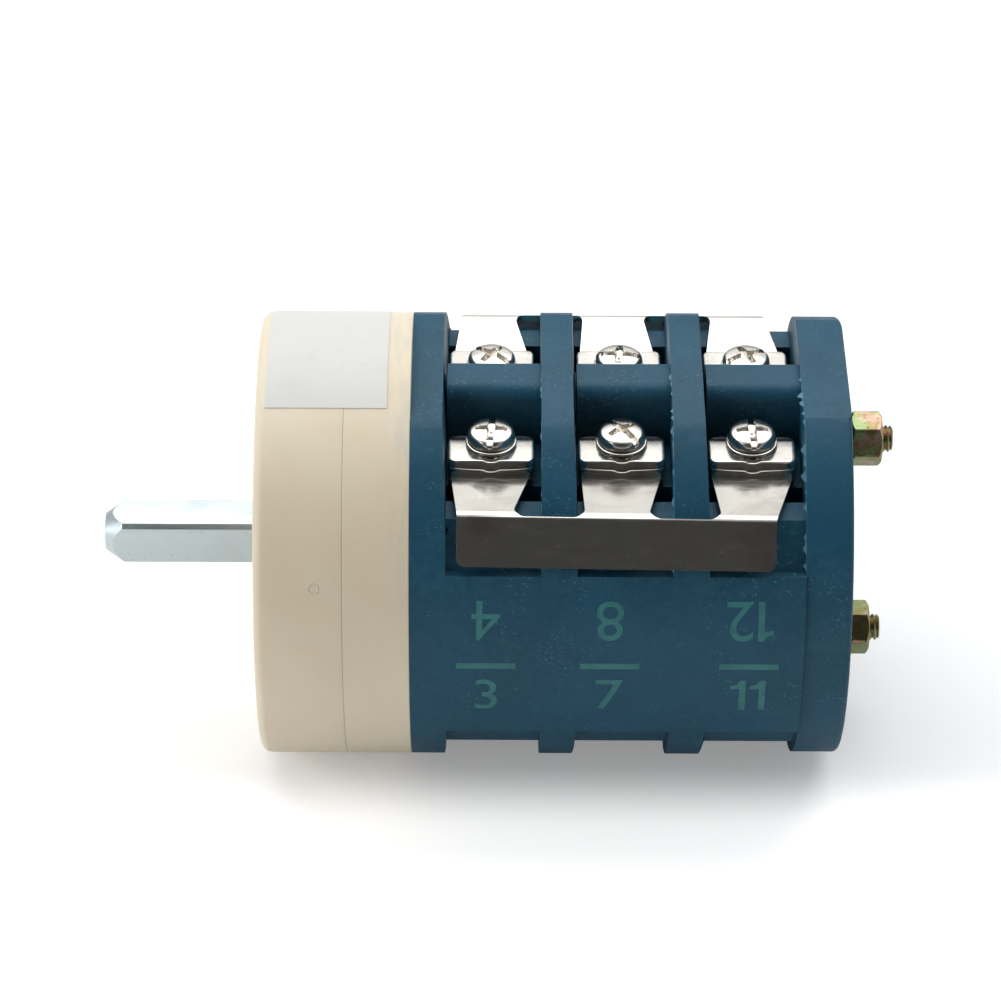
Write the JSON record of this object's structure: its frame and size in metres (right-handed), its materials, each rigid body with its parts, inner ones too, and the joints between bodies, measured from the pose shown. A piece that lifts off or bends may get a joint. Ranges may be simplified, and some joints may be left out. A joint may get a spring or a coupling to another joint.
{
  "type": "forward reverse switch",
  "caption": "Rotary cam switch that swaps a motor's direction: square spindle, round detent cap, three blue contact chambers with screw terminals, and jumper straps.",
  "frame": {"origin": "centre of the cap's flat front face, on the spindle's axis, where it seats against a panel", "axes": "+X runs back through the switch along the spindle, +Z is the side of the upper terminals"},
  "size_m": [0.1133, 0.064, 0.0641],
  "materials": {
    "cream_moulding": "satin thermoset moulding",
    "blue_moulding": "satin blue thermoset moulding",
    "label_film": "blank white label film",
    "white_nylon": "natural nylon",
    "brass": "plain brass",
    "nickel_plate": "nickel plated",
    "bright_zinc": "bright zinc plated",
    "yellow_zinc": "yellow passivated zinc",
    "spring_steel": "spring steel"
  },
  "bodies": {
    "switch_body": {"bridge_springs": "spring_steel", "chamber_1": "blue_moulding", "chamber_2": "blue_moulding", "chamber_3": "blue_moulding", "clamp_plates": "nickel_plate", "contact_bar_1_far": "brass", "contact_bar_1_near": "brass", "contact_bar_2_far": "brass", "contact_bar_2_near": "brass", "contact_bar_3_far": "brass", "contact_bar_3_near": "brass", "detent_spring_far": "spring_steel", "detent_spring_near": "spring_steel", "end_plate": "blue_moulding", "follower_1_far": "white_nylon", "follower_1_near": "white_nylon", "follower_2_far": "white_nylon", "follower_2_near": "white_nylon", "follower_3_far": "white_nylon", "follower_3_near": "white_nylon", "jumper_strap_far": "nickel_plate", "jumper_strap_near": "nickel_plate", "lock_washers": "nickel_plate", "mechanism_cover": "cream_moulding", "mechanism_housing": "cream_moulding", "panel_inserts": "brass", "rating_label": "label_film", "terminal_screws": "nickel_plate", "terminal_strip_1": "brass", "terminal_strip_10": "brass", "terminal_strip_11": "brass", "terminal_strip_12": "brass", "terminal_strip_2": "brass", "terminal_strip_3": "brass", "terminal_strip_4": "brass", "terminal_strip_5": "brass", "terminal_strip_6": "brass", "terminal_strip_7": "brass", "terminal_strip_8": "brass", "terminal_strip_9": "brass", "tie_nuts": "yellow_zinc", "tie_rods": "yellow_zinc", "wire_plates": "nickel_plate"},
    "spindle_set": {"spindle": "bright_zinc", "spindle_clip": "spring_steel", "detent_rotor": "white_nylon", "rear_bush": "white_nylon", "cam_1": "white_nylon", "cam_2": "white_nylon", "cam_3": "white_nylon"},
    "plunger_near": {"detent_plunger_near": "white_nylon"},
    "plunger_far": {"detent_plunger_far": "white_nylon"}
  },
  "joints": [
    {"name": "spindle_turn", "type": "hinge", "parent": "switch_body", "child": "spindle_set", "pos_m": [0.05, 0, 0], "axis": [1, 0, 0], "range_deg": [-60, 60]},
    {"name": "near_detent_slide", "type": "slide", "parent": "switch_body", "child": "plunger_near", "axis": [0, -1, 0], "range_m": [0, 0.0012], "stiffness_N_per_m": 1500, "springref_m": -0.003},
    {"name": "far_detent_slide", "type": "slide", "parent": "switch_body", "child": "plunger_far", "axis": [0, 1, 0], "range_m": [0, 0.0012], "stiffness_N_per_m": 1500, "springref_m": -0.003}
  ]
}
